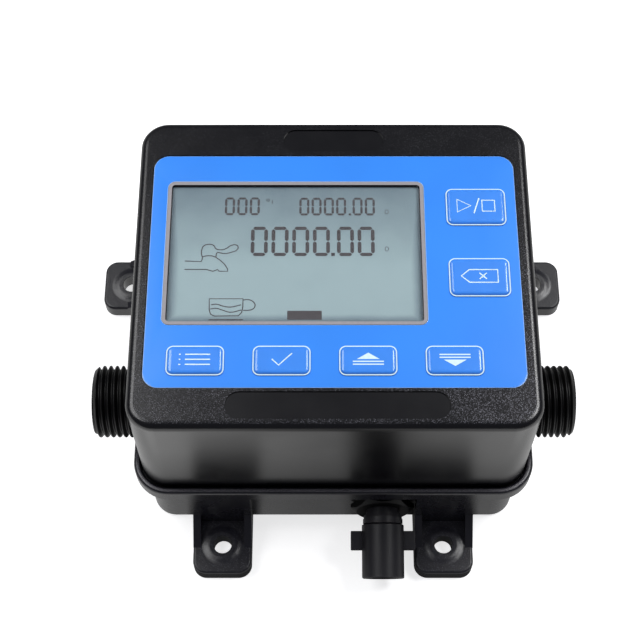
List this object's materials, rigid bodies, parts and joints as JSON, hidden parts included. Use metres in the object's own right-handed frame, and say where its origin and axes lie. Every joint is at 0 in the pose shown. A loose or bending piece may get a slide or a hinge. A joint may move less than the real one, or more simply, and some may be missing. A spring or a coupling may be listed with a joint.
{
  "type": "water flow meter",
  "caption": "Boxed inline water flow meter: turbine sensor between two male threaded pipe ends, segment display, press keys, mounting ears and a winged connector.",
  "frame": {"origin": "on the resting plane of the base's back face, under the middle of the front face", "axes": "+X along the water pipe towards its outlet end, +Y towards the display's upper edge, +Z out of the display"},
  "size_m": [0.1502, 0.1229, 0.0745],
  "materials": {
    "case_black": "moulded black plastic with a fine grain",
    "overlay_blue": "printed polycarbonate film, satin blue",
    "window_clear": "clear pane",
    "lcd_grey": "grey green display glass",
    "bezel_grey": "matte grey metal frame",
    "light_panel": "milky light panel",
    "strip_pink": "layered contact rubber",
    "board_green": "glass fibre circuit board",
    "switch_black": "small moulded part",
    "plunger_ivory": "small moulded part",
    "chip_black": "moulded chip package",
    "capacitor_blue": "sleeved can",
    "header_white": "moulded header",
    "key_blue": "glossy embossed key",
    "pipe_black": "glass filled plastic",
    "seal_rubber": "soft sealing rubber",
    "chamber_white": "moulded nylon",
    "rotor_white": "moulded acetal",
    "magnet_grey": "plated magnet",
    "bush_bronze": "sintered bronze",
    "steel": "zinc plated steel",
    "contact_gold": "gold plated contact",
    "lead_red": "insulated lead",
    "lead_black": "insulated lead",
    "connector_black": "moulded connector plastic"
  },
  "bodies": {
    "case": {"front_cover": "case_black", "base": "case_black", "case_gasket": "seal_rubber", "case_screws": "steel", "face_overlay": "overlay_blue", "display_window": "window_clear", "lcd_glass": "lcd_grey", "lcd_bezel": "bezel_grey", "backlight": "light_panel", "contact_strips": "strip_pink", "display_board": "board_green", "board_screws": "steel", "tact_switches": "switch_black", "controller_chip": "chip_black", "capacitor": "capacitor_blue", "lead_headers": "header_white", "inlet_pipe": "pipe_black", "outlet_pipe": "pipe_black", "pipe_seals": "seal_rubber", "port_grommets": "seal_rubber", "pipe_clips": "steel", "clip_screws": "steel", "turbine_chamber": "chamber_white", "chamber_lid": "chamber_white", "chamber_seal": "seal_rubber", "chamber_screws": "steel", "rotor_shaft": "steel", "hall_sensor": "chip_black", "sensor_lead": "lead_red", "power_lead": "lead_black", "socket_washer": "seal_rubber", "socket_nut": "connector_black", "socket_body": "connector_black", "lock_nut": "steel", "contact_pins": "contact_gold"},
    "menu_button": {"menu_key": "key_blue", "menu_plunger": "plunger_ivory"},
    "set_button": {"set_key": "key_blue", "set_plunger": "plunger_ivory"},
    "up_button": {"up_key": "key_blue", "up_plunger": "plunger_ivory"},
    "down_button": {"down_key": "key_blue", "down_plunger": "plunger_ivory"},
    "run_stop_button": {"run_stop_key": "key_blue", "run_stop_plunger": "plunger_ivory"},
    "clear_button": {"clear_key": "key_blue", "clear_plunger": "plunger_ivory"},
    "rotor": {"turbine_rotor": "rotor_white", "rotor_magnets": "magnet_grey", "rotor_bushes": "bush_bronze"},
    "sleeve": {"coupling_sleeve": "connector_black"}
  },
  "joints": [
    {"name": "menu_press", "type": "slide", "parent": "case", "child": "menu_button", "axis": [0, 0, -1], "range_m": [0, 0.00025], "stiffness_N_per_m": 1500},
    {"name": "set_press", "type": "slide", "parent": "case", "child": "set_button", "axis": [0, 0, -1], "range_m": [0, 0.00025], "stiffness_N_per_m": 1500},
    {"name": "up_press", "type": "slide", "parent": "case", "child": "up_button", "axis": [0, 0, -1], "range_m": [0, 0.00025], "stiffness_N_per_m": 1500},
    {"name": "down_press", "type": "slide", "parent": "case", "child": "down_button", "axis": [0, 0, -1], "range_m": [0, 0.00025], "stiffness_N_per_m": 1500},
    {"name": "run_stop_press", "type": "slide", "parent": "case", "child": "run_stop_button", "axis": [0, 0, -1], "range_m": [0, 0.00025], "stiffness_N_per_m": 1500},
    {"name": "clear_press", "type": "slide", "parent": "case", "child": "clear_button", "axis": [0, 0, -1], "range_m": [0, 0.00025], "stiffness_N_per_m": 1500},
    {"name": "rotor_spin", "type": "hinge", "parent": "case", "child": "rotor", "pos_m": [0, -0.0188, 0.0407], "axis": [0, 0, 1], "continuous": true},
    {"name": "sleeve_turn", "type": "hinge", "parent": "case", "child": "sleeve", "pos_m": [0.0149, -0.0533, 0.0125], "axis": [0, -0.9703, -0.2419], "range_deg": [0, 90]}
  ]
}
